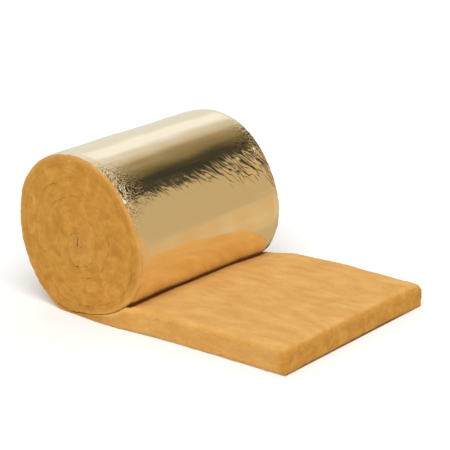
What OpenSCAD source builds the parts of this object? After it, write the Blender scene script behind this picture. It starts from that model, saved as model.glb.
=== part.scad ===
// Roll of foil-faced glass wool blanket, partly rolled out.
// The roll lies along Y. The free end of the blanket leaves the roll at its
// bottom and lies flat towards +X, wool side up and foil side down.
// The origin is at the middle of the footprint, on the floor.

/* [Blanket] */
// Width of the blanket, which is also the length of the roll
blanket_w = 1200; // [600:50:1200]
// Thickness of the wool where it lies free and has opened up again
wool_t = 140; // [110:5:160]
// Thickness of the aluminium foil facing
foil_t = 0.4; // [0.3:0.1:1]
// Rounding of the cut wool edges
edge_r = 14; // [6:1:20]

/* [Roll] */
// Outside diameter of the roll, foil included
roll_d = 886; // [800:2:1000]
// Thickness of the wound wool, which is pressed by the winding
turn_t = 70; // [60:1:80]
// Thickness of the blanket where the roll stands on it
pressed_t = 20; // [14:1:40]
// Diameter of the eye left in the middle of the roll
eye_d = 50; // [30:2:80]
// Width of the groove that parts one turn from the next on the ends
groove_w = 6; // [4:1:10]
// Depth of that groove
groove_depth = 14; // [6:1:25]

/* [Free end] */
// Length of the free end, from the middle of the roll to the cut edge
free_len = 1380; // [900:10:2000]
// Thickness of the free end where it comes out from under the roll
nip_t = 120; // [100:1:130]
// Distance over which the free end opens from nip_t to wool_t
opening_len = 270; // [200:10:350]

/* [Hidden] */

$fn = 128;
round_steps = 4;
opening_steps = 10;
eps = 1;

// Half turns on the left share one centre and those on the right another,
// higher by half of what the blanket climbs in one turn.
roll_r = roll_d / 2;
right_r = (roll_d - pressed_t) / 2;
left_z = roll_r;
right_z = roll_r + pressed_t / 2;
roll_x = (roll_r - free_len) / 2;
eye_r = eye_d / 2;
eye_z = right_z;
turns = floor((roll_r - eye_r - groove_w) / turn_t);

// The free end's top meets the outside of the roll at this place
nip_x = sqrt(right_r ^ 2 - (right_z - nip_t) ^ 2);
nip_angle = -acos(nip_x / right_r);

// Points of a quarter round from angle a, anticlockwise, about [cx, cy]
function quarter(cx, cy, r, a) =
    [for (i = [0:round_steps]) [cx + r * cos(a + 90 * i / round_steps),
                                cy + r * sin(a + 90 * i / round_steps)]];

// Height of the free end's top, a share s of the way from nip_t to wool_t
function opening(s) = nip_t + (wool_t - nip_t) * (1 - cos(180 * s)) / 2;

// Turns a section in the radius-and-width plane from angle a0 to a1 about a
// line along Y at height z, with 0 degrees towards +X and 90 upwards
module turned(z, a0, a1)
    translate([roll_x, 0, z])
        rotate([90, 0, 0])
            rotate_extrude(angle = a1 - a0, start = a0)
                children();

// Section of the wound wool, from its middle to radius r, with soft rims
module wound_section(r)
    polygon(concat(
        [[0, -blanket_w / 2]],
        quarter(r - edge_r, edge_r - blanket_w / 2, edge_r, -90),
        quarter(r - edge_r, blanket_w / 2 - edge_r, edge_r, 0),
        [[0, blanket_w / 2]]));

// Sections of the grooves in both ends, at radius r
module groove_section(r)
    for (side = [-1, 1])
        translate([r, side * blanket_w / 2])
            square([groove_w, 2 * groove_depth], center = true);

// Grooves that show where one turn lies on the next, on both ends
module turn_grooves() {
    turned(right_z, -90, nip_angle) groove_section(right_r);
    for (i = [1:turns - 1]) {
        left_r = roll_r - pressed_t / 2 - (i - 0.5) * turn_t;
        turned(right_z - turn_t / 2, 90, 270) groove_section(left_r);
        turned(right_z, -90, 90) groove_section(right_r - i * turn_t);
    }
}

// The free end: its outline seen from the side, drawn out over the width
module free_end()
    translate([roll_x, 0, 0])
        rotate([90, 0, 0])
            linear_extrude(height = blanket_w, center = true)
                polygon(concat(
                    [[0, foil_t]],
                    quarter(free_len - edge_r, foil_t + edge_r, edge_r, -90),
                    quarter(free_len - edge_r, wool_t - edge_r, edge_r, 0),
                    [for (i = [opening_steps:-1:0])
                        [nip_x + opening_len * i / opening_steps, opening(i / opening_steps)]],
                    [[nip_x / 2, nip_t + eps], [0, nip_t + eps]]));

// Glass wool: the wound roll with its eye, and the free end, in one piece
module glass_wool_blanket()
    color("goldenrod")
        difference() {
            union() {
                turned(left_z, 90, 270) wound_section(roll_r - foil_t);
                turned(right_z, -90, 90) wound_section(right_r - foil_t);
                free_end();
            }
            translate([roll_x, 0, eye_z])
                rotate([90, 0, 0])
                    cylinder(r = eye_r, h = blanket_w + 2 * eps, center = true);
            turn_grooves();
        }

// Foil facing: on the outside of the outer turn and under the free end
module foil_facing()
    color("silver") {
        turned(left_z, 90, 270)
            translate([roll_r - foil_t, -blanket_w / 2])
                square([foil_t, blanket_w]);
        turned(right_z, nip_angle, 90)
            translate([right_r - foil_t, -blanket_w / 2])
                square([foil_t, blanket_w]);
        translate([roll_x, -blanket_w / 2, 0])
            cube([free_len, blanket_w, foil_t]);
    }

glass_wool_blanket();
foil_facing();
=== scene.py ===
"""Looks of the foil-faced glass wool roll: a blanket modelled flat, then wound, its free end rolled out."""

import logging
import math
from dataclasses import dataclass, field
from enum import Enum
from typing import Callable, Iterable, Union

import bmesh
import bpy
import numpy as np
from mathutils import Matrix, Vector

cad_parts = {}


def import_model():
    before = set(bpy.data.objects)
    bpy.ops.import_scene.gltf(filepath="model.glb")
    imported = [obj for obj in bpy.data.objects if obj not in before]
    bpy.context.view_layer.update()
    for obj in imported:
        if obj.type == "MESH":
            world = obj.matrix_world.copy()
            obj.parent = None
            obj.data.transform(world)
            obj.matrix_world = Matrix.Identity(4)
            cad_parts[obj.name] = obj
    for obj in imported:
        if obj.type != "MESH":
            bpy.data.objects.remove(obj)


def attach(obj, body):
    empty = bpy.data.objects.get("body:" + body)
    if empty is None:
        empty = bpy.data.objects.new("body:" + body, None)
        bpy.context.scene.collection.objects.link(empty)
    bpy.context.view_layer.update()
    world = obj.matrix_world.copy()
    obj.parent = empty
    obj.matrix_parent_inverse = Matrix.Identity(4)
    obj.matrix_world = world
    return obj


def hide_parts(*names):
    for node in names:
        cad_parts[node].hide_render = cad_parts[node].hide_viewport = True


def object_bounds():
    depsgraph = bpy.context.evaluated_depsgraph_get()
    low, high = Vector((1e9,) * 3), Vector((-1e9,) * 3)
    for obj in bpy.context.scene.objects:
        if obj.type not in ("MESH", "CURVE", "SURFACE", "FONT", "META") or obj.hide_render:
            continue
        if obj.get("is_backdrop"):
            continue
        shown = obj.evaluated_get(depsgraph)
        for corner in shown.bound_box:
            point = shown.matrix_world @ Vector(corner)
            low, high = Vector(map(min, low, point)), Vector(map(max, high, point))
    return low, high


log = logging.getLogger("insulation_roll")

# How far the wool swells past each of CAD's flat ends, in metres
BULGE = 0.008
# Share of CAD's radius to which the roll is wound, before it goes out of round
SLACK = 0.994
# Distances in metres within which a point counts as being at a place
NEAR = 1e-4
VERY_NEAR = 1e-5
# Steps in which the weights of a vertex group are given
WEIGHT_STEPS = 20
# Length in metres that stands for none where one is divided by
NOTHING = 1e-9
# Angle between two faces, in degrees, over which their edge stays sharp
SHARP = 58

Array = np.ndarray
Piece = bpy.types.Object
Counts = tuple[int, ...]
Sizes = tuple[float, ...]
Edges = Callable[[Array, Array], Array]
Triple = tuple[float, float, float]
Colour = tuple[float, float, float, float]
Stops = tuple[tuple[float, Colour], ...]
Socket = bpy.types.NodeSocket
Value = Union[Socket, float, Triple, Colour]


# ---------------- operators, as by hand


def deselect_all() -> None:
    """Leaves object mode with nothing selected."""
    if bpy.context.object and bpy.context.object.mode != "OBJECT":
        bpy.ops.object.mode_set(mode="OBJECT")
    bpy.ops.object.select_all(action="DESELECT")


def make_active(piece: Piece) -> None:
    """Makes one object the only one selected, and the active one."""
    deselect_all()
    piece.select_set(True)
    bpy.context.view_layer.objects.active = piece


def start_slab(name: str, low: Triple, high: Triple) -> Piece:
    """Makes a slab between two corners, unscaled, and opens it for editing.

    Args:
        name: The new piece's name.
        low: Its lowest x, y and z.
        high: Its highest x, y and z.

    Returns:
        The piece, in edit mode with edges to be selected.
    """
    deselect_all()
    middle = [(a + b) / 2 for a, b in zip(low, high)]
    size = [b - a for a, b in zip(low, high)]
    bpy.ops.mesh.primitive_cube_add(size=1, location=middle, scale=size)
    piece = bpy.context.active_object
    piece.name = name
    bpy.ops.object.transform_apply(location=True, rotation=False, scale=True)
    bpy.ops.object.mode_set(mode="EDIT")
    bpy.ops.mesh.select_mode(type="EDGE")
    return piece


def select_edges(piece: Piece, wanted: Edges) -> None:
    """Selects edges of the mesh being edited, by where their two ends are.

    Args:
        piece: The object in edit mode.
        wanted: Takes the two ends of every edge, as two arrays of points, and says which edges to select.
    """
    bpy.ops.mesh.select_all(action="DESELECT")
    mesh = bmesh.from_edit_mesh(piece.data)
    ends = np.array([[v.co[:] for v in edge.verts] for edge in mesh.edges])
    for edge, chosen in zip(mesh.edges, wanted(ends[:, 0], ends[:, 1])):
        edge.select_set(bool(chosen))
    mesh.select_flush_mode()
    bmesh.update_edit_mesh(piece.data)


def split_edges(piece: Piece, wanted: Edges, factors: Iterable[int]) -> None:
    """Cuts edges into equal stretches, and the faces between them into strips.

    Args:
        piece: The object in edit mode.
        wanted: Which edges to cut, as select_edges takes it.
        factors: Numbers whose product is the number of stretches, one for each round of cutting.
    """
    for factor in factors:
        select_edges(piece, wanted)
        bpy.ops.mesh.subdivide(number_cuts=factor - 1)


def bisect_at(axis: int, places: Iterable[float]) -> None:
    """Cuts the mesh being edited along planes across one of its axes.

    Args:
        axis: 0 to 2 for X to Z.
        places: Where each plane crosses that axis.
    """
    normal = [float(i == axis) for i in range(3)]
    for place in places:
        bpy.ops.mesh.select_all(action="SELECT")
        bpy.ops.mesh.bisect(plane_co=[place * n for n in normal], plane_no=normal)


def runs_along(axis: int, low: float, high: float) -> Edges:
    """Picks the edges that run along one axis and lie between two places on it.

    Args:
        axis: 0 to 2 for X to Z.
        low: Lowest place along the axis.
        high: Highest place along the axis.

    Returns:
        The test, as select_edges takes it.
    """
    nearly_all = 0.999

    def test(a: Array, b: Array) -> Array:
        """Says which edges do."""
        span = np.abs(a - b)
        along = span[:, axis] > nearly_all * np.linalg.norm(span, axis=1)
        above = np.minimum(a, b)[:, axis] > low - VERY_NEAR
        return along & above & (np.maximum(a, b)[:, axis] < high + VERY_NEAR)

    return test


def both(*tests: Edges) -> Edges:
    """Joins tests of edges into one that asks for all of them."""
    return lambda a, b: np.logical_and.reduce([test(a, b) for test in tests])


def points_of(piece: Piece) -> Array:
    """Every point of a mesh, one a row."""
    flat = np.empty(3 * len(piece.data.vertices), np.float32)
    piece.data.vertices.foreach_get("co", flat)
    return flat.reshape(-1, 3).astype(float)


def set_points(piece: Piece, points: Array) -> None:
    """Moves every point of a mesh."""
    piece.data.vertices.foreach_set("co", points.astype(np.float32).ravel())
    piece.data.update()


# ---------------- smooth changes


def eased(x: Array) -> Array:
    """Goes smoothly from 0, where x is 0 or less, to 1, where x is 1 or more."""
    x = np.clip(x, 0.0, 1.0)
    return x * x * (3 - 2 * x)


def fallen(past: Array) -> Array:
    """A quarter of a circle: 0 where past is 0 or less, falling to 1 just short of its upright end."""
    past = np.clip(past, 0, 0.995)
    return 1 - np.sqrt(1 - past * past)


@dataclass(frozen=True)
class Fade:
    """A smooth change along some measure, from its start to one width further on."""

    start: float
    width: float

    def up(self, x: Array) -> Array:
        """0 before the change and 1 after it."""
        return eased((x - self.start) / self.width)

    def down(self, x: Array) -> Array:
        """1 before the change and 0 after it."""
        return 1 - self.up(x)


@dataclass(frozen=True)
class Hill:
    """A smooth hill along some measure: where its top is, how wide it is to each side, and how high."""

    middle: float
    width: float
    height: float = 1.0

    def at(self, x: Array) -> Array:
        """The hill's height at each place."""
        return self.height * np.exp(-(((x - self.middle) / self.width) ** 2))


@dataclass(frozen=True)
class Give:
    """One way in which soft stock gives: how far at each place along the floor, and how high up it ends."""

    along: Hill
    above: Fade

    def at(self, along: Array, height: Array) -> Array:
        """How far each place gives."""
        return self.along.at(along) * self.above.down(height)


# ---------------- the way the blanket is wound


@dataclass
class Winding:
    """Where each part of the flat blanket ends up: its free end on the floor, the rest wound in a spiral.

    Lengths are in metres and angles wound in radians. s is the distance from the cut end along the blanket.
    The angle wound is 0 at the bottom of the roll and grows by way of its back.
    """

    centre_x: float
    radius: float
    free_len: float
    wool_t: float = 0.140
    nip_t: float = 0.118
    opening: Fade = Fade(0.27, 0.30)
    turn_t: float = 0.074
    outermost: float = 0.66
    outermost_ends: Fade = Fade(1.6 * math.pi, math.pi)
    eye_r: float = 0.005
    eye_starts: Fade = Fade(0.0, 0.3)
    eye_closed: float = 0.995
    crease_depth: float = 0.006
    crease: Fade = Fade(0.012, 0.022)
    pressed_t: float = 0.020
    pressed_deg: float = 75.0
    lost_above: Sizes = (0.2, 0.12, 0.08, 0.05, 0.03)
    foil_t: float = 0.0004
    turns: int = 6
    steps: int = 720
    # Waves round the roll, with how much of its radius each adds and the direction it points in, in degrees
    out_of_round: tuple[tuple[int, float, float], ...] = (
        (2, 0.0490, -44.0), (3, 0.0240, -16.5), (4, 0.0170, -33.5))
    # How far the inner turns wander sideways and up, and the waves across, up and their phase
    wander: float = 0.006
    waves: tuple[tuple[float, float, float], ...] = ((31.0, 17.0, 1.0), (-29.0, 23.0, 2.0))
    angles: Array = field(init=False)
    radii: Array = field(init=False)
    lengths: Array = field(init=False)
    under_x: Array = field(init=False)
    under_z: Array = field(init=False)
    nip_x: float = field(init=False)

    def __post_init__(self) -> None:
        """Works out the spiral, the length wound up to each angle, and where roll and free end meet."""
        step = 2 * math.pi / self.steps
        count = self.turns * self.steps
        self.angles = np.arange(count + self.steps + 1) * step
        inset = np.zeros(count + self.steps + 1)
        inset[: self.steps + 1] = self.pressed_t * (1 - np.cos(self.angles[: self.steps + 1] / 2)) / 2
        thick = self.turn_t * (1 - self.press(self.angles))
        thick *= self.outermost + (1 - self.outermost) * self.outermost_ends.up(self.angles)
        for i in range(self.steps, count + self.steps + 1):
            inset[i] = inset[i - self.steps] + thick[i - self.steps]
        self.radii = self.radius - inset * (self.radius - self.eye_r) / inset[-1]
        middle = (self.radii[: count + 1] + self.radii[self.steps :]) / 2
        self.lengths = np.concatenate([[0], np.cumsum((middle[1:] + middle[:-1]) / 2 * step)])
        last_quarter = np.linspace(1.5 * math.pi, 2 * math.pi, 200)
        x, z = self.wound(last_quarter, np.interp(last_quarter, self.angles, self.radii))
        order = np.argsort(x)
        self.under_x, self.under_z = x[order] - self.centre_x, z[order]
        self.nip_x = float(self.under_x[np.argmax(self.under_z > self.free_top(self.under_x))])

    @property
    def length(self) -> float:
        """Length of the whole blanket."""
        return self.free_len + float(self.lengths[-1])

    @property
    def turn_end(self) -> float:
        """How far from the cut end the outermost turn ends."""
        wound = np.interp(2 * math.pi, self.angles[: len(self.lengths)], self.lengths)
        return self.free_len + float(wound)

    def turned(self, s: Array) -> Array:
        """Angle wound at each distance from the cut end, 0 all along the free end."""
        return np.interp(s - self.free_len, self.lengths, self.angles[: len(self.lengths)])

    def press(self, turned: Array) -> Array:
        """Share of its thickness that the blanket loses where the roll's weight is on it.

        Args:
            turned: Angle wound.

        Returns:
            The share lost at each angle.
        """
        share = np.zeros_like(turned)
        reach = math.radians(self.pressed_deg)
        for turn, amount in enumerate((1 - self.pressed_t / self.turn_t, *self.lost_above)):
            away = np.clip(np.abs(turned - 2 * math.pi * turn) / reach, 0, 1)
            share += amount * np.cos(away * math.pi / 2) ** 2
        return share

    def wound(self, turned: Array, radius: Array) -> tuple[Array, Array]:
        """A place in the roll, in the plane across its axis.

        The waves that take the roll out of round leave its lowest line where it is.

        Args:
            turned: Angle wound.
            radius: Distance from the middle of the roll, before it goes out of round.

        Returns:
            x and z of each place.
        """
        bottom = -math.pi / 2
        angle = bottom - turned
        swell = np.zeros_like(angle)
        for order, amount, towards in self.out_of_round:
            phase = order * math.radians(towards)
            tilt = order * math.sin(order * bottom - phase) * np.sin(angle - bottom)
            swell += amount * (np.cos(order * angle - phase) - (math.cos(order * bottom - phase) - tilt))
        r = radius * (1 + swell * radius / self.radius)
        across, up = r * np.cos(angle), r * np.sin(angle)
        inward = self.wander * (1 - np.clip(radius / self.radius, 0, 1) ** 4)
        aside, risen = (inward * np.sin(a * across + b * up + c) for a, b, c in self.waves)
        return self.centre_x + across + aside, self.radius + up + risen

    def free_top(self, x: Array) -> Array:
        """Height that the wool's top would have with no roll on it, opening up from the roll outwards."""
        return self.nip_t + (self.wool_t - self.nip_t) * self.opening.up(x)

    def in_crease(self, x: Array) -> Array:
        """1 along the line where the roll meets the free end, falling to 0 two fingers' width from it."""
        return self.crease.down(np.abs(x - self.nip_x))

    def top_of_free_end(self, x: Array, creased: Array) -> Array:
        """Height of the wool's top at a distance x from the middle of the roll, on the floor side."""
        softness = 0.002
        overhang = 0.9 * self.under_x[-1]
        free = self.free_top(x) - self.crease_depth * creased * self.in_crease(x)
        under = np.where(x > overhang, np.inf, np.interp(x, self.under_x, self.under_z))
        return np.minimum(free, under) - softness * np.log1p(np.exp(-np.abs(free - under) / softness))

    def place(self, s: Array, share: Array, rise: Array, creased: Array | float = 0.0) -> tuple[Array, Array]:
        """Winds points of the flat blanket up.

        Args:
            s: Distance of each point from the cut end.
            share: Height in the wool, 0 at the foil side and 1 at the wool side.
            rise: Distance of each point from the outside of the foil, added to its height in the wool.
            creased: Share of its full depth that the crease in front of the roll has at each point.

        Returns:
            x and z of each point.
        """
        x_free = self.free_len - s
        depth = self.top_of_free_end(np.maximum(x_free, 0), creased)
        flat_x, flat_z = self.centre_x + x_free, rise + share * (depth - self.foil_t)
        turned = self.turned(s)
        outer = np.interp(turned, self.angles, self.radii)
        inner = np.interp(turned + 2 * math.pi, self.angles, self.radii)
        inner *= 1 - self.eye_closed * self.eye_starts.up(turned - 2 * math.pi * (self.turns - 1))
        wound_x, wound_z = self.wound(turned, outer - rise - share * (outer - inner - self.foil_t))
        on_floor = s <= self.free_len
        return np.where(on_floor, flat_x, wound_x), np.where(on_floor, flat_z, wound_z)


# ---------------- relief


class Clouds(Enum):
    """How a cloudy pattern goes from low to high: gently, or folded into sharp creases."""

    GENTLE = "SOFT_NOISE"
    FOLDED = "HARD_NOISE"


@dataclass(frozen=True)
class Relief:
    """One layer of unevenness, limited to a vertex group.

    height is from lowest to highest, and rest is the share of it that leaves the mesh where it was. grain is
    the size of the clouds along each axis, turned in degrees.
    """

    name: str
    height: float
    grain: Triple
    depth: int
    group: str
    rest: float = 0.5
    clouds: Clouds = Clouds.GENTLE
    turn: float = 0.0

    def press_into(self, piece: Piece) -> None:
        """Moves the mesh along its normals by a cloudy pattern stretched to the grain."""
        cloud = bpy.data.textures.new(self.name, "CLOUDS")
        cloud.noise_scale = 1.0
        cloud.noise_depth = self.depth
        cloud.noise_type = self.clouds.value
        ruler = bpy.data.objects.new(self.name + "_ruler", None)
        bpy.context.scene.collection.objects.link(ruler)
        ruler.scale = self.grain
        ruler.rotation_euler.z = math.radians(self.turn)
        bpy.context.view_layer.update()
        make_active(piece)
        layer = piece.modifiers.new(self.name, "DISPLACE")
        layer.texture = cloud
        layer.texture_coords = "OBJECT"
        layer.texture_coords_object = ruler
        layer.strength = self.height
        layer.mid_level = self.rest
        layer.vertex_group = self.group
        bpy.ops.object.modifier_apply(modifier=layer.name)
        bpy.data.objects.remove(ruler)
        bpy.data.textures.remove(cloud)


def press_all(piece: Piece, layers: Iterable[Relief]) -> None:
    """Presses layers of relief into a mesh, one after another."""
    for layer in layers:
        layer.press_into(piece)


def weigh(piece: Piece, name: str, weights: Array) -> None:
    """Makes a vertex group.

    Args:
        piece: The mesh.
        name: The group's name.
        weights: A weight for each point, from 0 to 1.
    """
    group = piece.vertex_groups.new(name=name)
    steps = np.round(np.clip(weights, 0, 1) * WEIGHT_STEPS).astype(int)
    for step in range(1, WEIGHT_STEPS + 1):
        group.add(np.nonzero(steps == step)[0].tolist(), step / WEIGHT_STEPS, "REPLACE")


def keep_vector(piece: Piece, name: str, values: Array) -> None:
    """Keeps a vector at each point as an attribute."""
    attribute = piece.data.attributes.new(name, "FLOAT_VECTOR", "POINT")
    attribute.data.foreach_set("vector", values.astype(np.float32).ravel())


def keep_number(piece: Piece, name: str, values: Array) -> None:
    """Keeps a number at each point as an attribute."""
    attribute = piece.data.attributes.new(name, "FLOAT", "POINT")
    attribute.data.foreach_set("value", values.astype(np.float32))


# ---------------- finishes


def srgb(red: float, green: float, blue: float) -> Colour:
    """Turns a colour as screens show it, each part from 0 to 255, into the shader's own linear numbers."""
    linear = [((c / 255 + 0.055) / 1.055) ** 2.4 if c > 10 else c / 255 / 12.92 for c in (red, green, blue)]
    return (*linear, 1.0)


class Nodes:
    """A tree of shader nodes, added and linked by short calls."""

    def __init__(self, tree: bpy.types.NodeTree) -> None:
        """Takes the tree of a material or of the world."""
        self.nodes = tree.nodes
        self.links = tree.links

    def join(self, value: Value, socket: Socket) -> None:
        """Links an output to a node's input, or sets that input to a plain value."""
        if isinstance(value, Socket):
            self.links.new(value, socket)
        else:
            socket.default_value = value

    def add(self, kind: str, inputs: dict | None = None, **settings: object) -> bpy.types.Node:
        """Adds a node.

        Args:
            kind: The node's type.
            inputs: Socket name or number to a value or to another node's output.
            settings: The node's own settings.

        Returns:
            The node.
        """
        node = self.nodes.new(kind)
        for key, value in settings.items():
            setattr(node, key, value)
        for key, value in (inputs or {}).items():
            self.join(value, node.inputs[key])
        return node

    def mix(self, share: Value, a: Value, b: Value, blend: str = "MIX") -> Socket:
        """Blends two colours, by the node's sockets for colours, which go by their place."""
        inputs = {0: share, 6: a, 7: b}
        return self.add("ShaderNodeMix", inputs, data_type="RGBA", blend_type=blend).outputs[2]


class Shader(Nodes):
    """A material's nodes."""

    def __init__(self, name: str) -> None:
        """Starts a material with only its Principled shader."""
        self.material = bpy.data.materials.new(name)
        self.material.use_nodes = True
        super().__init__(self.material.node_tree)
        self.surface = self.nodes["Principled BSDF"]

    def attribute(self, name: str, output: str = "Fac") -> Socket:
        """Reads an attribute that the mesh keeps."""
        return self.add("ShaderNodeAttribute", attribute_name=name).outputs[output]

    def noise(self, place: Socket, grain: Triple, detail: float = 3.0, roughness: float = 0.55,
              distortion: float = 0.0, turn: float = 0.0) -> Socket:
        """A cloudy pattern whose clouds have the given size in metres along each axis, turned in degrees."""
        rotation = (0, 0, math.radians(turn))
        mapped = self.add("ShaderNodeMapping", {"Vector": place, "Scale": grain, "Rotation": rotation},
                          vector_type="TEXTURE")
        cloud = self.add("ShaderNodeTexNoise", {"Vector": mapped.outputs[0], "Scale": 1.0, "Detail": detail,
                                               "Roughness": roughness, "Distortion": distortion})
        return cloud.outputs["Fac"]

    def ramp(self, value: Socket, stops: Stops) -> Socket:
        """Turns a number into a colour, by stops from the lowest number up."""
        node = self.add("ShaderNodeValToRGB", {"Fac": value})
        elements = node.color_ramp.elements
        while len(elements) < len(stops):
            elements.new(0.5)
        for element, (place, colour) in zip(elements, stops):
            element.position = place
            element.color = colour
        return node.outputs["Color"]

    def calculate(self, operation: str, a: Value, b: Value = 0.0) -> Socket:
        """One sum on two numbers or outputs."""
        return self.add("ShaderNodeMath", {0: a, 1: b}, operation=operation).outputs[0]

    def blend(self, *parts: tuple[Socket, float]) -> Socket:
        """Adds patterns up, each by its share."""
        total, *others = [self.calculate("MULTIPLY", pattern, share) for pattern, share in parts]
        for other in others:
            total = self.calculate("ADD", total, other)
        return total

    def bump(self, height: Socket, depth: float, below: Socket | None = None) -> Socket:
        """Fine relief of the given depth in metres, on top of another bump."""
        node = self.add("ShaderNodeBump", {"Height": height, "Distance": depth, "Strength": 1.0})
        if below is not None:
            self.links.new(below, node.inputs["Normal"])
        return node.outputs["Normal"]

    def set(self, **values: Value) -> None:
        """Sets or links the Principled shader's sockets, with _ for a space in their names."""
        for key, value in values.items():
            self.join(value, self.surface.inputs[key.replace("_", " ")])


@dataclass(frozen=True)
class WoolFinish:
    """Golden glass wool: matte, fibrous, cloudy in colour, deeper where it is cut across its layers."""

    face: Stops = ((0.32, srgb(196, 139, 66)), (0.5, srgb(211, 158, 85)), (0.70, srgb(226, 179, 113)))
    cut: Stops = ((0.38, srgb(178, 117, 36)), (0.5, srgb(190, 132, 47)), (0.64, srgb(207, 151, 69)))
    # Painted shade: the darker colour laid along the crease in front of the roll, where the roll shades the
    # wool
    painted_crease_shade: Colour = srgb(150, 84, 14)
    # Painted light: a tint over 1 that brightens the face near the roll, standing in for light thrown back
    # from the foil
    painted_bounce_light: Colour = (1.13, 1.16, 1.13, 1.0)
    sheen: Colour = srgb(255, 226, 170)
    cloud_grain: Triple = (0.16, 0.06, 0.06)
    patch_grain: Triple = (0.07, 0.07, 0.07)
    layer_grain: Triple = (0.10, 0.10, 0.008)
    fibre_grain: Triple = (0.014, 0.010, 0.004)
    layer_depth: float = 0.002
    fibre_depth: float = 0.003

    def material(self) -> bpy.types.Material:
        """Builds the material."""
        shader = Shader("glass_wool")
        flat = shader.attribute("flat_place", "Vector")
        place = shader.add("ShaderNodeTexCoord").outputs["Object"]
        clouds = shader.noise(flat, self.cloud_grain, detail=4)
        patches = shader.noise(place, self.patch_grain, detail=4, distortion=0.8)
        layers = shader.noise(flat, self.layer_grain)
        fibres = shader.noise(flat, self.fibre_grain, detail=5, roughness=0.7, distortion=1.5)
        face = shader.ramp(shader.blend((clouds, 0.5), (fibres, 0.5)), self.face)
        cut = shader.ramp(shader.blend((fibres, 0.3), (patches, 0.5), (layers, 0.2)), self.cut)
        # Painted light: the face colour brightened near the roll, as if lit by light thrown back from the
        # foil
        painted_bounce_light = shader.mix(1.0, face, self.painted_bounce_light, "MULTIPLY")
        face = shader.mix(shader.attribute("painted_bounce_share"), face, painted_bounce_light)
        colour = shader.mix(shader.attribute("cut"), face, cut)
        # Painted shade: the colour darkened along the crease in front of the roll
        colour = shader.mix(shader.attribute("crease"), colour, self.painted_crease_shade)
        relief = shader.bump(layers, self.layer_depth)
        relief = shader.bump(fibres, self.fibre_depth, relief)
        shader.set(Base_Color=colour, Roughness=0.95, Specular_IOR_Level=0.12, Normal=relief,
                   Sheen_Weight=0.2, Sheen_Roughness=0.6, Sheen_Tint=self.sheen)
        return shader.material


@dataclass(frozen=True)
class FoilFinish:
    """Bright pale-gold aluminium foil, smooth, with fine creases where it was gripped."""

    tint: Colour = (0.95, 0.85, 0.66, 1.0)
    smoothest: float = 0.11
    haze: float = 0.10
    haze_grain: Triple = (0.03, 0.5, 1.0)
    # The part of the creases that each kind of fold follows, its grain, its depth and its turn in degrees
    folds: tuple[tuple[str, Triple, float, float], ...] = (
        ("X", (0.020, 0.024, 1.0), 0.036, 0), ("Y", (0.095, 0.032, 1.0), 0.030, 35))
    # How far from the middle of its pattern a fold ends
    fold_half: float = 0.08

    def material(self) -> bpy.types.Material:
        """Builds the material."""
        shader = Shader("foil")
        flat = shader.attribute("flat_place", "Vector")
        weights = shader.add("ShaderNodeSeparateXYZ", {0: shader.attribute("creases", "Vector")})
        haze = shader.noise(flat, self.haze_grain)
        roughness = shader.calculate("ADD", shader.calculate("MULTIPLY", haze, self.haze), self.smoothest)
        relief = None
        for part, grain, depth, turn in self.folds:
            fold = shader.noise(flat, grain, detail=0.5, turn=turn)
            fold = shader.calculate("ABSOLUTE", shader.calculate("SUBTRACT", fold, 0.5))
            fold = shader.calculate("MINIMUM", fold, self.fold_half)
            relief = shader.bump(shader.calculate("MULTIPLY", fold, weights.outputs[part]), depth, relief)
        shader.set(Base_Color=self.tint, Metallic=1.0, Roughness=roughness, Normal=relief)
        return shader.material


# ---------------- the pieces


def dress(piece: Piece, material: bpy.types.Material, slot: str, *nodes: str) -> None:
    """Gives a finished piece its material and its place in the frame.

    Args:
        piece: The piece.
        material: Its finish.
        slot: Not used.
        nodes: The CAD nodes it stands for.
    """
    make_active(piece)
    bpy.ops.object.mode_set(mode="EDIT")
    bpy.ops.mesh.select_all(action="SELECT")
    bpy.ops.mesh.normals_make_consistent(inside=False)
    bpy.ops.object.mode_set(mode="OBJECT")
    bpy.ops.object.shade_smooth_by_angle(angle=math.radians(SHARP))
    piece.data.materials.clear()
    piece.data.materials.append(material)
    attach(piece, "root")
    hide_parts(*nodes)
    triangles = sum(len(face.vertices) - 2 for face in piece.data.polygons)
    log.info("%s: %d triangles", piece.name, triangles)


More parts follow.
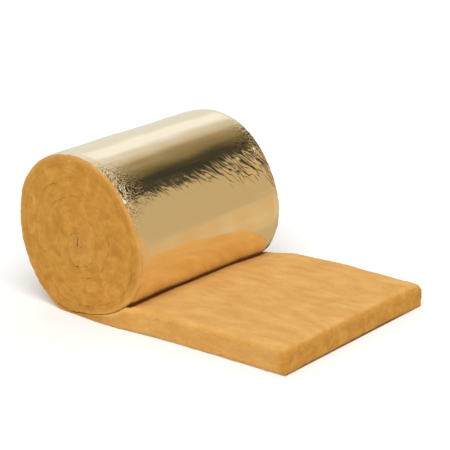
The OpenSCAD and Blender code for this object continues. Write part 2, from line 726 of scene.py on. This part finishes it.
@dataclass
class Stock:
    """The sizes that the wool and its foil share while they lie flat, and how both settle once wound.

    A fade is along the blanket unless a comment says otherwise, from the place that the line using it says.
    """

    winding: Winding
    width: float
    flat_t: float = 0.100
    foil_inset: float = 0.012
    # Radii of the edges: at the roll's rims, under the free end, between turns, and at the upright corners
    rim_r: float = 0.020
    sole_r: float = 0.008
    sole_rise: float = 0.9
    seam_r: float = 0.0002
    outer_seam_r: float = 0.0006
    corner_r: float = 0.006
    # How wide and how deep the free end's top falls away, at its long edges and at the cut end
    side_shoulder: tuple[float, float] = (0.034, 0.024)
    end_shoulder: tuple[float, float] = (0.046, 0.026)
    side_rolls: Fade = Fade(-0.45, 0.35)
    rim_starts: Fade = Fade(0.0, 0.3)
    rim_ends: Fade = Fade(-0.2, 0.4)
    sole_ends: Fade = Fade(0.0, 0.3)
    seam_ends: Fade = Fade(0.0, 0.2)
    second_turn: float = 2.4
    # Settling: how far things give, by place from the middle of the roll and by height
    rolled: Fade = Fade(-0.45, 0.40)
    far_from: float = 0.20
    near_from: float = 0.25
    squeezed: Give = Give(Hill(0.20, 0.32, 0.033), Fade(0.0, 0.26))
    sunk: Give = Give(Hill(0.36, 0.17, 0.020), Fade(0.0, 0.30))
    sagged: Give = Give(Hill(-0.16, 0.09, 0.020), Fade(0.0, 0.20))
    spread: float = 0.032
    near_spread: float = 0.005
    end_spread: float = 0.010
    end_spread_ends: Fade = Fade(0.0, 0.2)
    taper: float = 0.006
    taper_ends: Fade = Fade(0.0, 0.5)
    # The roll's ends: their dome, and the eye drawn closed there, by distance from its middle.
    # Both start by distance past the flat end.
    dome: float = 0.012
    dome_starts: Fade = Fade(-0.06, 0.05)
    eye: Fade = Fade(0.0, 0.13)
    eye_starts: Fade = Fade(-0.022, 0.02)
    eye_drawn: float = 0.94
    # The swelling of the roll's top: by degrees from upright, and by distance past the far end
    shoulder: Hill = Hill(10, 36, 0.012)
    shoulder_starts: Fade = Fade(-1.0, 1.0)

    @property
    def half(self) -> float:
        """Half the width."""
        return self.width / 2

    def seam(self, s: Array, turn: int) -> Array:
        """Radius of the edges where two turns meet, deeper until the given turn from the outside ends."""
        last = self.winding.turn_end + self.second_turn * (turn - 1)
        return self.seam_r + (self.outer_seam_r - self.seam_r) * self.seam_ends.down(s - last)

    def foil_edge_r(self, s: Array) -> Array:
        """Radius of the edges at the foil side: full on the outermost turn, slight elsewhere."""
        past = s - self.winding.turn_end
        outermost = self.rim_starts.up(s - self.winding.free_len) * self.rim_ends.down(past)
        plain = self.sole_r + (self.seam(s, 2) - self.sole_r) * self.sole_ends.up(past)
        return plain + (self.rim_r - plain) * outermost

    def top_drop(self, s: Array, y: Array) -> Array:
        """How far the wool side falls away towards the long edges and the cut end."""
        wound = self.side_rolls.up(s - self.winding.free_len)
        width, depth = (size + (self.seam(s, 1) - size) * wound for size in self.side_shoulder)
        side = depth * fallen((np.abs(y) - self.half) / width + 1)
        end_width, end_depth = self.end_shoulder
        return np.hypot(side, end_depth * fallen(1 - s / end_width))

    def rim_drop(self, s: Array, y: Array) -> Array:
        """How far the foil side curls in at the long edges and the cut end."""
        r = self.foil_edge_r(s)
        past = (np.abs(y) - self.half) / r + 1
        free = s < self.winding.free_len
        side = r * np.where(free, self.sole_rise * np.clip(past, 0, 1), fallen(past))
        return np.maximum(side, self.sole_rise * self.sole_r * np.clip(1 - s / self.sole_r, 0, 1))

    def rounded(self, points: Array) -> Array:
        """Rounds the two upright corners, the long edges and the edges of the cut end, given flat points."""
        s, y, z = points.T
        reach = self.half - self.corner_r
        core_s, core_y = np.maximum(s, self.corner_r), np.clip(y, -reach, reach)
        out_s, out_y = s - core_s, y - core_y
        size = np.maximum(np.hypot(out_s, out_y), NOTHING)
        kept = np.minimum(size, self.corner_r) / size
        s, y = core_s + out_s * kept, core_y + out_y * kept
        low, high = self.rim_drop(s, y), self.flat_t - self.top_drop(s, y)
        return np.stack([s, y, low + z / self.flat_t * (high - low)], axis=1)

    def settle(self, s: Array, x: Array, y: Array, z: Array) -> Array:
        """Lets the whole thing settle as soft stock does.

        The free end spreads at its far side, the roll squeezes wool out at its near side, sags onto the
        floor behind where it touches, and sits deeper in the free end at its far side.

        Args:
            s: Distance from the cut end.
            x: Place along the floor.
            y: Place across the blanket.
            z: Height.

        Returns:
            The settled points.
        """
        along, nip = x - self.winding.centre_x, self.winding.nip_t
        free = self.rolled.down(s - self.winding.free_len)
        far = Fade(self.far_from, self.half - self.far_from).up(y)
        near = Fade(self.near_from, self.half - self.near_from).up(-y)
        squeezed, sagged = self.squeezed.at(along, z), self.sagged.at(along, z)
        lowered = far * (self.sunk.at(along, z - nip) + self.taper * free * self.taper_ends.down(s))
        x, z = self.shouldered(*self.close_eye(x, y, z), y, 1 - free)
        z = z - lowered * np.minimum(z / nip, 1) - sagged
        out = np.clip(np.hypot(along, z - self.winding.radius) / self.winding.radius, 0, 1)
        face = self.dome_starts.up(np.abs(y) - self.half) * (1 - free)
        y = y + np.sign(y) * self.dome * face * (1 - out * out)
        y = y + self.spread * far * free - near * (squeezed + self.near_spread * free)
        return np.stack([x + self.end_spread * far * free * self.end_spread_ends.down(s), y, z], axis=1)

    def wind(self, points: Array, share: Array, rise: Array, creased: Array | float = 0.0) -> Array:
        """Winds flat points up, as Winding.place takes them, and lets them settle."""
        x, z = self.winding.place(points[:, 0], share, rise, creased)
        return self.settle(points[:, 0], x, points[:, 1], z)

    def shouldered(self, x: Array, z: Array, y: Array, wound: Array) -> tuple[Array, Array]:
        """Swells the top of the roll towards its far rim, by the share that is wound, and gives x and z."""
        along, up = x - self.winding.centre_x, z - self.winding.radius
        out = np.maximum(np.hypot(along, up), NOTHING)
        swollen = self.shoulder.at(np.degrees(np.arctan2(along, up))) * self.shoulder_starts.up(y - self.half)
        share = wound * swollen * np.clip(out / self.winding.radius, 0, 1) ** 2 / out
        return x + along * share, z + up * share

    def close_eye(self, x: Array, y: Array, z: Array) -> tuple[Array, Array]:
        """Draws the wool at both faces together over the roll's eye, and gives x and z."""
        middle_x, middle_z = (float(place[0]) for place in self.winding.wound(np.zeros(1), np.zeros(1)))
        away = np.hypot(x - middle_x, z - middle_z)
        drawn = self.eye_drawn * self.eye.down(away) * self.eye_starts.up(np.abs(y) - self.half)
        return x - (x - middle_x) * drawn, z - (z - middle_z) * drawn


@dataclass
class Blanket:
    """The glass wool: modelled flat with its cut faces, made uneven, then wound.

    Steps are the stretches that each round of cutting makes.
    """

    stock: Stock
    finish: WoolFinish
    side_rows: int = 16
    rim_cuts: Sizes = (0.003, 0.009, 0.020)
    nip_step: float = 0.005
    nip_rows: int = 8
    free_steps: Counts = (12, 12)
    under_steps: Counts = (24,)
    wound_steps: Counts = (20, 48)
    top_steps: Counts = (10, 14)
    bed: float = 0.0007
    # Where the wool is uneven: close to the sides, less in the lower half, and near the free end's top
    off_foil: Fade = Fade(0.002, 0.005)
    off_sides: Fade = Fade(0.008, 0.020)
    off_floor: float = 0.002
    near_top: Fade = Fade(-0.04, 0.03)
    tops_end: Fade = Fade(-0.33, 0.12)
    # Where it looks cut across its layers, the least share along the free end, and where it shows less
    rolled: Fade = Fade(-0.30, 0.20)
    below_top: Fade = Fade(0.0, 0.016)
    off_edge: Fade = Fade(0.004, 0.030)
    off_end: Fade = Fade(0.024, 0.020)
    at_end: Fade = Fade(0.01, 0.05)
    free_share: float = 0.3
    rim_height: Fade = Fade(0.015, 0.05)
    rim_loss: float = 0.5
    eye: Fade = Fade(-0.6, 0.3)
    eye_loss: float = 0.2
    # The crease in front of the roll, away from the sides, with painted shade along it, and the painted light
    # on the wool round it, standing in for light thrown back from the foil
    inside: Fade = Fade(0.012, 0.030)
    painted_bounce_share: Hill = Hill(0.0, 0.16)
    flat_relief: tuple[Relief, ...] = (
        Relief("swells", 0.008, (0.40, 0.30, 0.30), 1, "tops"),
        Relief("tufts", 0.0035, (0.10, 0.04, 0.05), 2, "tops"),
        Relief("fibre_ends", 0.0025, (0.022, 0.012, 0.02), 1, "tops"),
        Relief("layers", 0.0030, (0.08, 0.10, 0.010), 2, "sides"),
    )
    wound_relief: tuple[Relief, ...] = (
        Relief("lumps", 0.010, (0.09, 0.09, 0.06), 2, "sides"),
        Relief("fluff", 0.005, (0.018, 0.018, 0.014), 2, "sides"),
    )

    def flat(self) -> Piece:
        """Makes the flat blanket, its cut end at the origin and its foil side down."""
        stock, winding = self.stock, self.stock.winding
        length, half, free = winding.length, stock.half, winding.free_len
        piece = start_slab("glass_wool", (0, -half, 0), (length, half, stock.flat_t))
        nip, reach = free - winding.nip_x, self.nip_rows * self.nip_step
        rows = range(-self.nip_rows, self.nip_rows + 1)
        bisect_at(0, [free, *(nip + self.nip_step * row for row in rows)])
        bisect_at(1, [side * (half - cut) for cut in self.rim_cuts for side in (-1, 1)])
        split_edges(piece, runs_along(2, 0, stock.flat_t), (self.side_rows,))
        split_edges(piece, runs_along(0, 0, nip - reach), self.free_steps)
        split_edges(piece, runs_along(0, nip + reach, free), self.under_steps)
        split_edges(piece, runs_along(0, free, length), self.wound_steps)

        def shows(a: Array, b: Array) -> Array:
            """Says which edges lie in the cut end or in the free end's top."""
            last = np.maximum(a[:, 0], b[:, 0])
            top = np.minimum(a[:, 2], b[:, 2]) > stock.flat_t - NEAR
            return (last < NEAR) | (top & (last < free + NEAR))

        inside = half - self.rim_cuts[-1] + NEAR
        split_edges(piece, both(shows, runs_along(1, -inside, inside)), self.top_steps)
        bpy.ops.object.mode_set(mode="OBJECT")
        return piece

    def cut_share(self, s: Array, y: Array, z: Array) -> Array:
        """How much the wool looks cut across its layers.

        Args:
            s: Distance from the cut end.
            y: Place across the blanket.
            z: Height in the flat blanket.

        Returns:
            The share at each point, from 0 to 1.
        """
        stock, winding = self.stock, self.stock.winding
        from_side = np.minimum(stock.half - np.abs(y), s)
        wound = self.rolled.up(s - winding.free_len)
        below = np.clip(self.below_top.up(stock.flat_t - z) + wound, 0, 1)
        cut = np.maximum(self.off_edge.down(from_side), self.off_end.down(s)) * below
        cut *= self.free_share + (1 - self.free_share) * np.maximum(wound, self.at_end.down(s))
        rim = wound * stock.rim_ends.down(s - winding.turn_end) * self.rim_height.down(z)
        cut *= (1 - self.rim_loss * rim) * (1 - self.eye_loss * self.eye.up(s - winding.length))
        return np.clip(cut, 0, 1)

    def weigh_sides_and_tops(self, piece: Piece, s: Array, y: Array, z: Array) -> None:
        """Makes the two vertex groups that limit where the wool is uneven."""
        stock = self.stock
        from_side = np.minimum(stock.half - np.abs(y), s)
        bare = np.where(z < stock.flat_t / 2, self.off_foil.down(from_side), 1.0)
        weigh(piece, "sides", bare * self.off_sides.down(from_side) * (z > self.off_floor))
        fade = self.tops_end.down(s - stock.winding.free_len)
        weigh(piece, "tops", self.near_top.up(z - stock.flat_t) * fade)

    def build(self) -> Piece:
        """Makes the wool and sets it down wound."""
        stock, winding = self.stock, self.stock.winding
        piece = self.flat()
        rounded = stock.rounded(points_of(piece))
        set_points(piece, rounded)
        s, y, z = rounded.T
        self.weigh_sides_and_tops(piece, s, y, z)
        press_all(piece, self.flat_relief)
        points = points_of(piece)
        keep_vector(piece, "flat_place", points)
        keep_number(piece, "cut", self.cut_share(s, y, z))
        free = (points[:, 2] > 0.8 * stock.flat_t) & (s < winding.free_len)
        creased = self.inside.up(stock.half - np.abs(y))
        from_roll = winding.free_len - s
        # Painted shade: where the wool's colour is darkened, along the crease in front of the roll
        keep_number(piece, "crease", free * creased * winding.in_crease(from_roll))
        # Painted light: where the wool's colour is brightened near the roll, for light thrown back from the
        # foil
        keep_number(piece, "painted_bounce_share", free * self.painted_bounce_share.at(from_roll - winding.nip_x))
        rise = np.full(len(points), self.bed)
        set_points(piece, stock.wind(points, points[:, 2] / stock.flat_t, rise, creased))
        press_all(piece, self.wound_relief)
        points = points_of(piece)
        points[:, 2] = np.maximum(points[:, 2], self.bed)
        set_points(piece, points)
        dress(piece, self.finish.material(), "glass_wool", "glass_wool_blanket")
        return piece


@dataclass
class Facing:
    """The foil: a thin flat sheet, creased, then wound with the blanket that it is stuck to.

    Its folds lie by degrees past the top of the roll, towards its front.
    """

    stock: Stock
    finish: FoilFinish
    thick: float = 0.0004
    start: float = 0.0004
    end_gap: float = 0.01
    lead: float = 0.04
    end_cuts: Sizes = (0.004, 0.008)
    edge_cuts: Sizes = (0.003, 0.007, 0.012)
    free_steps: Counts = (60,)
    outer_steps: Counts = (20, 21)
    inner_steps: Counts = (20, 30)
    across_steps: Counts = (12, 15)
    # Gathers: their share by distance from the rim, where they are strongest, and how strong at the far rim
    gathers: tuple[tuple[float, Fade], ...] = ((0.65, Fade(0.0, 0.11)), (0.35, Fade(0.0, 0.30)))
    gathered: Hill = Hill(42, 20, 0.85)
    far_gathers: float = 0.6
    # Ripples: at the far end, by degrees and across, along the whole front, and everywhere
    far: Hill = Hill(56, 14, 1.6)
    far_across: Hill = Hill(0.47, 0.24)
    far_starts: Fade = Fade(38, 10)
    front: Hill = Hill(53, 7, 0.30)
    everywhere: float = 0.01
    # Where the sheet is loose: along it, from the roll's start and from its outermost turn's end, and across
    loose_starts: Fade = Fade(0.3, 0.2)
    loose_ends: Fade = Fade(-0.3, 0.2)
    dents_start: Fade = Fade(0.0, 0.05)
    # How the long edges wander, over which share of the width and from where on, and how far short of the
    # wool's edges they stay under the free end
    wander: float = 0.006
    waves: Sizes = (31.0, 53.0, 97.0, 171.0)
    phase: float = 1.7
    edge: Fade = Fade(10.7 / 12, 1 / 12)
    out_from: Fade = Fade(-0.5, 0.4)
    short: float = 0.0005
    relief: tuple[Relief, ...] = (
        Relief("dents", 0.008, (0.35, 0.40, 1.0), 1, "dented", 0.0),
        Relief("flats", 0.0016, (0.055, 0.70, 1.0), 1, "dented", 0.0),
        Relief("gathers", 0.0080, (0.030, 0.05, 1.0), 1, "gathered", 0.0, Clouds.FOLDED),
        Relief("ripples", 0.0110, (0.15, 0.055, 1.0), 0, "rippled", 0.0, Clouds.FOLDED, 35.0),
    )

    @property
    def half(self) -> float:
        """Half the flat sheet's width."""
        return self.stock.half - self.stock.foil_inset

    @property
    def outer_turn(self) -> tuple[float, float]:
        """From where to where the sheet shows on the roll, as distances from the cut end."""
        return self.stock.winding.free_len - self.lead, self.stock.winding.turn_end

    def creases(self, s: Array, y: Array) -> tuple[Array, Array]:
        """Where the foil is gathered at the rims, and where it is rippled along the roll's front.

        Args:
            s: Distance from the cut end.
            y: Place across the blanket.

        Returns:
            Gathered and rippled, each from 0 to 1.
        """
        lean = np.degrees(self.stock.winding.turned(s)) - 180
        from_rim = self.stock.half - np.abs(y)
        rim = sum(share * fade.down(from_rim) for share, fade in self.gathers)
        rim = rim * (1 - self.gathered.height + self.gathered.at(lean))
        rim *= np.where(y > 0, self.far_gathers, 1.0)
        far = self.far.at(lean) * self.far_across.at(y) * self.far_starts.up(lean)
        return rim, np.clip(self.everywhere + far + self.front.at(lean), 0, 1)

    def ragged(self, s: Array, y: Array) -> Array:
        """Moves the long edges: out under the free end, and to a slightly wandering line in the roll."""
        wander = self.wander * sum(np.sin(s * k + self.phase * k) for k in self.waves) / len(self.waves)
        wound = self.out_from.up(s - self.stock.winding.free_len)
        full = self.stock.foil_inset - self.short
        return y + np.sign(y) * (full + (wander - full) * wound) * self.edge.up(np.abs(y) / self.stock.half)

    def flat(self) -> Piece:
        """Makes the flat sheet, its outside down, cut finely where it shows."""
        first, last = self.outer_turn
        length = self.stock.winding.length - self.end_gap
        piece = start_slab("foil", (self.start, -self.half, 0), (length, self.half, self.thick))
        bisect_at(0, (*self.end_cuts, first, last))
        bisect_at(1, [side * (self.half - cut) for cut in self.edge_cuts for side in (-1, 1)])
        split_edges(piece, runs_along(0, self.start, first), self.free_steps)
        split_edges(piece, runs_along(0, first, last), self.outer_steps)
        split_edges(piece, runs_along(0, last, length), self.inner_steps)

        def outer_face(a: Array, b: Array) -> Array:
            """Says which edges lie on the outside of the outermost turn."""
            s = (a[:, 0] + b[:, 0]) / 2
            low = np.maximum(a[:, 2], b[:, 2]) < self.thick / 2
            return low & (s > first - NEAR) & (s < last + NEAR)

        inside = self.half - self.edge_cuts[-1] + NEAR
        split_edges(piece, both(outer_face, runs_along(1, -inside, inside)), self.across_steps)
        bpy.ops.object.mode_set(mode="OBJECT")
        return piece

    def build(self) -> Piece:
        """Makes the foil and winds it."""
        stock, winding = self.stock, self.stock.winding
        first, last = self.outer_turn
        piece = self.flat()
        s, y, z = points_of(piece).T
        outside = (z < self.thick / 2) & (s > first) & (s < last)
        loose = outside * self.loose_starts.up(s - winding.free_len) * self.loose_ends.down(s - last)
        gathered, rippled = self.creases(s, y)
        weigh(piece, "dented", loose * self.dents_start.up(self.half - np.abs(y)))
        weigh(piece, "gathered", loose * gathered)
        weigh(piece, "rippled", loose * rippled)
        press_all(piece, self.relief)
        points = points_of(piece)
        keep_vector(piece, "flat_place", points)
        keep_vector(piece, "creases", np.stack([gathered, rippled, 0 * s], axis=1))
        points[:, 1] = self.ragged(s, points[:, 1])
        share = stock.rim_drop(s, points[:, 1]) / stock.flat_t
        points = stock.wind(points, share, points[:, 2])
        points[:, 2] = np.maximum(points[:, 2], 0.0)
        set_points(piece, points)
        dress(piece, self.finish.material(), "foil", "foil_facing")
        return piece


# ---------------- the studio


def direction(azimuth: float, elevation: float) -> Vector:
    """A direction, by degrees from Y towards X and by degrees above the floor."""
    a, e = math.radians(azimuth), math.radians(elevation)
    return Vector((math.sin(a) * math.cos(e), math.cos(a) * math.cos(e), math.sin(e)))


class Sky(Nodes):
    """The light all round, painted by direction."""

    def __init__(self) -> None:
        """Starts the world."""
        world = bpy.data.worlds.new("studio")
        bpy.context.scene.world = world
        world.use_nodes = True
        super().__init__(world.node_tree)
        self.direction = self.add("ShaderNodeTexCoord").outputs["Generated"]
        self.ray = self.add("ShaderNodeLightPath").outputs

    def near(self, azimuth: float, elevation: float, inner: float, outer: float) -> Socket:
        """1 within the inner angle from a direction, 0 past the outer one, and smooth between."""
        ahead = direction(azimuth, elevation)
        dot = self.add("ShaderNodeVectorMath", {0: self.direction, 1: ahead}, operation="DOT_PRODUCT")
        reach = {"Value": dot.outputs["Value"], "From Min": math.cos(math.radians(outer)),
                 "From Max": math.cos(math.radians(inner))}
        return self.add("ShaderNodeMapRange", reach, interpolation_type="SMOOTHSTEP").outputs["Result"]


@dataclass(frozen=True)
class Studio:
    """Pale floor, soft light and the camera, which is placed from the middle of the roll."""

    camera_place: Triple = (5.882, -6.821, 3.311)
    yaw: float = 38.18
    pitch: float = 18.19
    lens: float = 134.3
    floor_size: float = 160.0
    floor_z: float = -0.0005
    floor_grey: Colour = (0.90, 0.90, 0.90, 1.0)
    soft: Colour = (0.60, 0.595, 0.59, 1.0)
    backdrop: Colour = (1.0, 1.0, 1.0, 1.0)
    warm_room: Colour = (0.57, 0.435, 0.240, 1.0)
    pale_wall: Colour = (0.81, 0.79, 0.71, 1.0)
    dark_room: Colour = (0.035, 0.035, 0.025, 1.0)
    dim_wall: Colour = (0.21, 0.155, 0.062, 1.0)
    softbox: Colour = (1.02, 1.02, 0.99, 1.0)
    lit_floor: Colour = (0.74, 0.57, 0.33, 1.0)
    wool_glow: Colour = (0.70, 0.45, 0.20, 1.0)

    def camera(self, roll_x: float) -> None:
        """Sets up the camera, by its place from the middle of the roll."""
        data = bpy.data.cameras.new("camera")
        data.lens = self.lens
        data.sensor_width = 36.0
        data.clip_end = 200.0
        camera = bpy.data.objects.new("camera", data)
        bpy.context.scene.collection.objects.link(camera)
        x, y, z = self.camera_place
        camera.location = (x + roll_x, y, z)
        camera.rotation_euler = direction(-self.yaw, -self.pitch).to_track_quat("-Z", "Y").to_euler()
        bpy.context.scene.camera = camera

    def floor(self) -> None:
        """Lays the pale floor, which the foil doesn't mirror."""
        deselect_all()
        bpy.ops.mesh.primitive_plane_add(size=self.floor_size, location=(0, 0, self.floor_z))
        floor = bpy.context.active_object
        floor.name = "floor"
        floor.visible_glossy = False
        shader = Shader("pale_floor")
        shader.set(Base_Color=self.floor_grey, Roughness=0.9)
        floor.data.materials.append(shader.material)
        floor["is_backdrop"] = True

    def sun(self, name: str, azimuth: float, elevation: float, strength: float, spread: float) -> None:
        """Adds a broad soft light from far off, given by the direction that it comes from."""
        data = bpy.data.lights.new(name, "SUN")
        data.energy = strength
        data.angle = math.radians(spread)
        lamp = bpy.data.objects.new(name, data)
        bpy.context.scene.collection.objects.link(lamp)
        lamp.rotation_euler = (-direction(azimuth, elevation)).to_track_quat("-Z", "Y").to_euler()
        lamp.visible_glossy = False

    def world(self) -> None:
        """Plain soft light for the wool, and a room for the foil to mirror."""
        sky = Sky()
        room = sky.mix(sky.near(-60, 20, 15, 60), self.warm_room, self.pale_wall)
        for azimuth, elevation, inner, outer, colour in (
            (25, 36, 0, 34, self.dim_wall),
            (25.5, 35.5, 5, 14, self.dark_room),
            (-33, 29, 2, 12, self.softbox),
            (5, 12, 12, 24, self.dark_room),
            (41, 5, 24, 27.5, self.warm_room),
            (42, -16, 10, 20, self.lit_floor),
            (70, -20, 31, 35, self.wool_glow),
            (28, -12, 10, 13.5, self.lit_floor),
            (180, 48, 8, 34, self.pale_wall),
            (90, 52, 6, 24, self.softbox),
            (0, 88, 6, 26, self.softbox),
            (140, 30, 3, 16, self.dim_wall),
            (140, 27, 1, 8, self.dark_room),
            (-146, 30, 3, 16, self.dim_wall),
            (-146, 27, 1, 8, self.dark_room),
            (95, 24, 3, 14, self.dim_wall),
            (-26, -33, 8, 16, self.dark_room),
        ):
            room = sky.mix(sky.near(azimuth, elevation, inner, outer), room, colour)
        seen = sky.mix(sky.ray["Is Glossy Ray"], self.soft, room)
        seen = sky.mix(sky.ray["Is Camera Ray"], seen, self.backdrop)
        sky.links.new(seen, sky.nodes["Background"].inputs["Color"])
        bpy.context.scene.world.cycles.sampling_method = "NONE"

    def build(self, roll_x: float) -> None:
        """Sets up everything round the object, whose roll has its middle at roll_x."""
        self.camera(roll_x)
        self.floor()
        self.world()
        self.sun("overhead", azimuth=140, elevation=56, strength=2.33, spread=50)
        bpy.context.scene.view_settings.view_transform = "Standard"


def main() -> None:
    """Builds every piece in order."""
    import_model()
    cad_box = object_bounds()
    low, high = cad_box
    roll_x = low.x + high.z / 2
    winding = Winding(centre_x=roll_x, radius=high.z / 2 * SLACK, free_len=high.x - roll_x)
    stock = Stock(winding, high.y - low.y + 2 * BULGE)
    log.info("blanket %.2f m long in all", winding.length)
    Studio().build(roll_x)
    Blanket(stock, WoolFinish()).build()
    Facing(stock, FoilFinish()).build()


if __name__ == "__main__":
    logging.basicConfig(level=logging.INFO, format="%(name)s: %(message)s")
    main()
